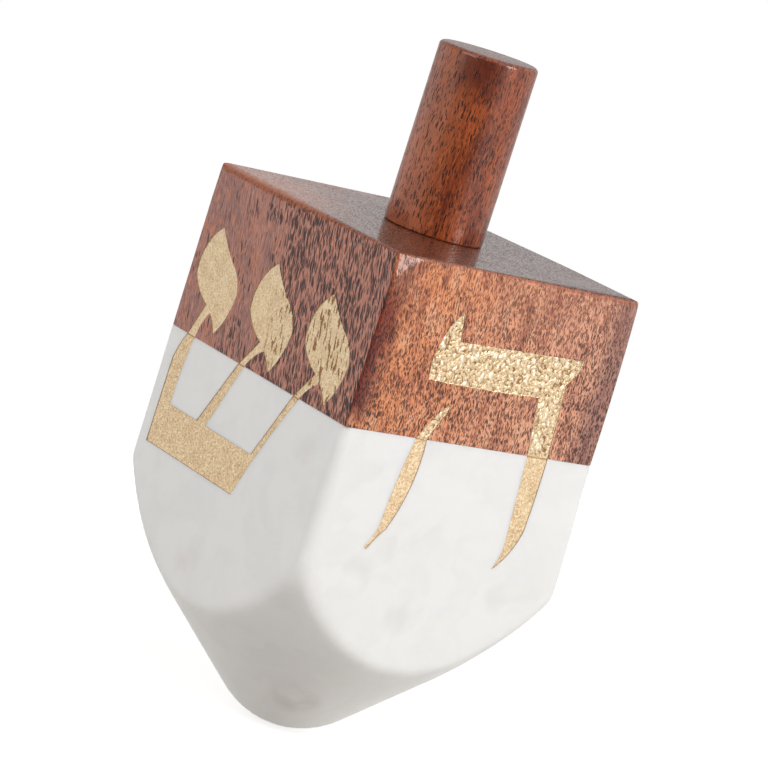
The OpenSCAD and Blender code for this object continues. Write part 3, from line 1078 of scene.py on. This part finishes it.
def cut_recesses(piece, strokes, material):
    """Cuts the strokes' recesses into a piece, with their own finish on the walls."""
    bm = bmesh.new()
    for stroke in strokes:
        stroke.cut(bm, RECESS_OVERRUN)
    cutter = new_piece(piece.name + "_recesses", bm, material, FLAT_SHARP)
    change = piece.modifiers.new("recesses", "BOOLEAN")
    change.operation = "DIFFERENCE"
    change.solver = "EXACT"
    change.material_mode = "TRANSFER"
    change.object = cutter
    bpy.context.view_layer.update()
    solid = piece.evaluated_get(bpy.context.evaluated_depsgraph_get())
    mesh = bpy.data.meshes.new_from_object(solid)
    mesh.set_sharp_from_angle(angle=math.radians(BODY_SHARP))
    piece.modifiers.clear()
    piece.data = mesh
    bpy.data.objects.remove(cutter)


def rim_points(outline, spacing):
    points = []
    for p, q in zip(outline, outline[1:] + outline[:1]):
        count = max(1, round((q - p).length / spacing))
        points += [p.lerp(q, i / count) for i in range(count)]
    return points


def inner_points(outline, spacing):
    """Points of a staggered grid inside an outline, clear of its rim."""
    low_y = min(p.y for p in outline)
    high_y = max(p.y for p in outline)
    rows = int((high_y - low_y) / spacing)
    points = []
    for row in range(1, rows):
        y = low_y + row * spacing
        crossings = []
        for p, q in zip(outline, outline[1:] + outline[:1]):
            if (p.y > y) != (q.y > y):
                crossings.append(mixed(p.x, q.x, (y - p.y) / (q.y - p.y)))
        crossings.sort()
        shift = spacing / 2 * (row % 2)
        for start, end in zip(crossings[::2], crossings[1::2]):
            first = math.ceil((start + spacing * RIM_GAP_SHARE - shift) / spacing)
            last = math.floor((end - spacing * RIM_GAP_SHARE - shift) / spacing)
            points += [Vector((shift + i * spacing, y)) for i in range(first, last + 1)]
    return points


def leaf_noise(across, along, width, length, layer):
    return noise.noise(Vector((across / width, along / length, layer)))


def leaf_relief(stroke, point):
    """Relief of the leaf over what is under it, from 0 in a furrow to 1 on a pad."""
    across = point.x + point.y * stroke.lean
    coarse = min(1.0, 2 * abs(leaf_noise(across, point.y, *COARSE_PADS)))
    fine = min(1.0, 2 * abs(leaf_noise(across, point.y, *FINE_PADS)))
    pads = mixed(fine, coarse, COARSE_PAD_SHARE)
    slit = smoothstep(leaf_noise(across, point.y, *SLITS), *SLIT_LEVELS)
    pad_share, slit_share = stroke.leaf_shares(point)
    relief = MEAN_RELIEF + pad_share * (pads - MEAN_RELIEF) - slit_share * slit / 2
    return min(max(relief, 0.0), 1.0)


def inlay_mesh(stroke, spacing, depth, lift):
    """A gold inlay, lifted a little and crumpled to a depth, with its relief and its rim as attributes."""
    rim = rim_points(stroke.outline, spacing)
    points = rim + inner_points(stroke.outline, spacing)
    outline = list(range(len(rim)))
    found = geometry.delaunay_2d_cdt(points, [], [outline], KEEP_INSIDE, POINT_GAP)
    places, faces, sources = found[0], found[2], found[3]
    bm = bmesh.new()
    relief_layer = bm.verts.layers.float.new("relief")
    rim_layer = bm.verts.layers.float.new("rim")
    verts = []
    for place, source in zip(places, sources):
        on_rim = any(i < len(rim) for i in source)
        relief = MEAN_RELIEF if on_rim else leaf_relief(stroke, place)
        sunk_by = stroke.face_depth - lift - depth * (relief - MEAN_RELIEF)
        vert = bm.verts.new(stroke.place(place, sunk_by))
        vert[relief_layer] = relief
        vert[rim_layer] = float(on_rim)
        verts.append(vert)
    for face in faces:
        bm.faces.new([verts[i] for i in face])
    border = [e for e in bm.edges if len(e.link_faces) == 1]
    wall = bmesh.ops.extrude_edge_only(bm, edges=border)["geom"]
    sunk = [v for v in wall if isinstance(v, bmesh.types.BMVert)]
    drop = stroke.out * (stroke.face_depth - stroke.floor_depth) * MM
    bmesh.ops.translate(bm, verts=sunk, vec=drop)
    bmesh.ops.edgeloop_fill(bm, edges=[e for e in bm.edges if len(e.link_faces) == 1])
    loose = [v for v in bm.verts if not v.link_faces]
    bmesh.ops.delete(bm, geom=loose, context="VERTS")
    return bm


# Stage

# Lamps: name, direction, distance, width and height, and brightness
LAMPS = (
    ("key_lamp", (0.310, -0.852, 0.423), 900, (300, 640), 9.1),
    ("left_softbox", (-0.788, 0.616, 0.0), 600, (1080, 300), 0.55),
    ("front_strip", (-0.541, -0.601, 0.588), 900, (170, 110), 6.5),
    ("left_fill", (-0.85, -0.10, 0.50), 900, (500, 500), 3.3),
)
# How far left of the camera the studio's dark part lies, and the direction of its dim side
DARK_TURN = math.radians(10)
LEFT_WAY = math.radians(130)
# Its brightness in gloss toward and away from the dark part and beside it, and its soft light
AHEAD = (0.9, 0.35, 0.08, 1.0)
BEHIND = (-0.95, -0.4, 0.62, 1.0)
BESIDE = (0.9, 0.1, 0.45, 1.0)
SOFT_LEVEL = 0.32
FLOOR_R = 360
FLOOR_STEPS = 96
FLOOR_COLOUR = tint(183, 178, 172)
FLOOR_GLOW = 0.8


def make_lamp(name, way, distance, size, radiance):
    """A rectangular lamp that faces the object from a direction, given by its brightness."""
    data = bpy.data.lights.new(name, "AREA")
    data.shape = "RECTANGLE"
    data.size = size[0] * MM
    data.size_y = size[1] * MM
    data.energy = radiance * math.pi * data.size * data.size_y
    lamp = new_object(name, data)
    target = Vector((0, 0, seam_z))
    place = target + Vector(way).normalized() * distance
    turn = Vector(way).to_track_quat("Z", "Y").to_matrix()
    lamp.matrix_world = Matrix.Translation(place * MM) @ turn.to_4x4()


def background_rays(net):
    """One for rays that show the background: those of the camera, and those off gloss and through glass."""
    path = net.add("ShaderNodeLightPath")
    gloss = net.math("MAXIMUM", path.outputs["Is Glossy Ray"], path.outputs["Is Transmission Ray"])
    return path.outputs["Is Camera Ray"], gloss


def make_world():
    world = bpy.data.worlds.new("studio")
    bpy.context.scene.world = world
    world.use_nodes = True
    net = Net(world.node_tree)
    way = net.add("ShaderNodeTexCoord").outputs["Generated"]
    dark_way = CAMERA_AZIMUTH - DARK_TURN
    forward = net.vector("DOT_PRODUCT", way, (math.sin(dark_way), -math.cos(dark_way), 0.0))
    ahead = net.smooth(forward, *AHEAD)
    behind = net.smooth(forward, *BEHIND)
    leftward = net.vector("DOT_PRODUCT", way, (math.cos(LEFT_WAY), math.sin(LEFT_WAY), 0.0))
    beside = net.smooth(leftward, *BESIDE)
    level = net.math("MINIMUM", net.math("MINIMUM", ahead, behind), beside)
    camera, gloss = background_rays(net)
    shown = net.blend(SOFT_LEVEL, level, gloss)
    shown = net.blend(shown, 1.0, camera)
    background = net.add("ShaderNodeBackground", (1.0, 1.0, 1.0, 1.0), shown)
    net.add("ShaderNodeOutputWorld", background.outputs["Background"])


def make_floor():
    bm = bmesh.new()
    bmesh.ops.create_circle(bm, cap_ends=True, segments=FLOOR_STEPS, radius=FLOOR_R * MM)
    material = bpy.data.materials.new("pale_floor")
    material.use_nodes = True
    net = Net(material.node_tree)
    camera, gloss = background_rays(net)
    diffuse = net.add("ShaderNodeBsdfDiffuse", FLOOR_COLOUR)
    seen = net.math("MAXIMUM", camera, gloss)
    glow = net.fill(net.add("ShaderNodeEmission"), Strength=net.times(seen, FLOOR_GLOW))
    both = net.add("ShaderNodeAddShader", diffuse.outputs["BSDF"], glow.outputs["Emission"])
    net.add("ShaderNodeOutputMaterial", both.outputs["Shader"])
    floor = new_piece("floor", bm, material, FLAT_SHARP)


# Making

make_camera()
bpy.context.scene.view_settings.view_transform = "Standard"

wood = wood_finish("varnished_wood")
stem_wood = stem_finish("turned_wood")
marble = marble_finish("white_marble")
recess_wall = plain_grain_finish("recess_wall", tint(214, 180, 134), tint(176, 138, 92))
dowel_wood = plain_grain_finish("dowel_beech", tint(222, 190, 146), tint(190, 150, 104))
leaf_gold = gold_finish("leaf_gold", sand_share=0.42, roughness=0.3)
sandy_gold = gold_finish("sandy_gold", sand_share=0.55, roughness=0.42)

strokes = [Stroke(node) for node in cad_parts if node.endswith("_inlay")]

block = new_piece("block", wood_block_mesh(), wood)
cut_recesses(block, [s for s in strokes if s.in_wood], recess_wall)
stand_for(block, "wood_block")

base = new_piece("base", marble_base_mesh(), marble)
cut_recesses(base, [s for s in strokes if not s.in_wood], recess_wall)
stand_for(base, "marble_base")

stem = new_piece("turned_stem", stem_mesh(), stem_wood, STEM_SHARP)
stand_for(stem, "stem")

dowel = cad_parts["joint_dowel"]
dowel.data.materials.clear()
dowel.data.materials.append(dowel_wood)

# Finish, grid spacing, depth of the relief and lift of leaf on wood and on marble
WOOD_LEAF = (leaf_gold, 0.2, 0.18, 0.0)
MARBLE_LEAF = (sandy_gold, 0.3, 0.1, 0.12)
for stroke in strokes:
    gold, *shape = WOOD_LEAF if stroke.in_wood else MARBLE_LEAF
    leaf_name = stroke.node.replace("inlay", "leaf")
    leaf = new_piece(leaf_name, inlay_mesh(stroke, *shape), gold, LEAF_SHARP)
    stand_for(leaf, stroke.node)

make_world()
make_floor()
for lamp in LAMPS:
    make_lamp(*lamp)
